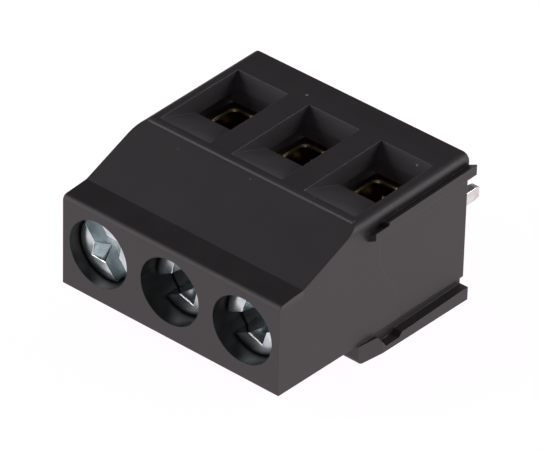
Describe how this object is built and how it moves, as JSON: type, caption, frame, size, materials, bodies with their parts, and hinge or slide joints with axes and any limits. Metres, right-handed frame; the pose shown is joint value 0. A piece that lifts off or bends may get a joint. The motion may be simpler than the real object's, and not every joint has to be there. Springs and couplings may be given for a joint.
{
  "type": "pcb screw terminal",
  "caption": "Rising-clamp screw terminal for circuit boards: black housing with sloped front, wire funnels, slotted clamp screws, side dovetail and solder pins.",
  "frame": {"origin": "middle solder pin's axis at the board's top face", "axes": "+X along the row of poles, -Y towards the wires, +Z away from the board, towards the screws"},
  "size_m": [0.0158, 0.0095, 0.0195],
  "materials": {
    "housing": "satin black moulding",
    "screw": "bright zinc plate",
    "cage": "plain brass",
    "contact": "tin plate"
  },
  "bodies": {
    "base": {"housing": "housing", "contact_1": "contact", "contact_2": "contact", "contact_3": "contact"},
    "turning_screw_1": {"screw_1": "screw"},
    "turning_screw_2": {"screw_2": "screw"},
    "turning_screw_3": {"screw_3": "screw"},
    "rising_cage_1": {"cage_1": "cage"},
    "rising_cage_2": {"cage_2": "cage"},
    "rising_cage_3": {"cage_3": "cage"}
  },
  "joints": [
    {"name": "screw_1_turn", "type": "hinge", "parent": "base", "child": "turning_screw_1", "pos_m": [0.00508, -0.00098, 0.012], "axis": [0, 0, 1], "range_deg": [-2016.1, 0]},
    {"name": "screw_2_turn", "type": "hinge", "parent": "base", "child": "turning_screw_2", "pos_m": [0, -0.00098, 0.012], "axis": [0, 0, 1], "range_deg": [-2016.1, 0]},
    {"name": "screw_3_turn", "type": "hinge", "parent": "base", "child": "turning_screw_3", "pos_m": [-0.00508, -0.00098, 0.012], "axis": [0, 0, 1], "range_deg": [-2016.1, 0]},
    {"name": "cage_1_lift", "type": "slide", "parent": "base", "child": "rising_cage_1", "axis": [0, 0, 1], "range_m": [0, 0.0028]},
    {"name": "cage_2_lift", "type": "slide", "parent": "base", "child": "rising_cage_2", "axis": [0, 0, 1], "range_m": [0, 0.0028]},
    {"name": "cage_3_lift", "type": "slide", "parent": "base", "child": "rising_cage_3", "axis": [0, 0, 1], "range_m": [0, 0.0028]}
  ],
  "couplings": [
    {"joint": "screw_1_turn", "follows": "cage_1_lift", "rad_per_m": -12566},
    {"joint": "screw_2_turn", "follows": "cage_2_lift", "rad_per_m": -12566},
    {"joint": "screw_3_turn", "follows": "cage_3_lift", "rad_per_m": -12566}
  ]
}
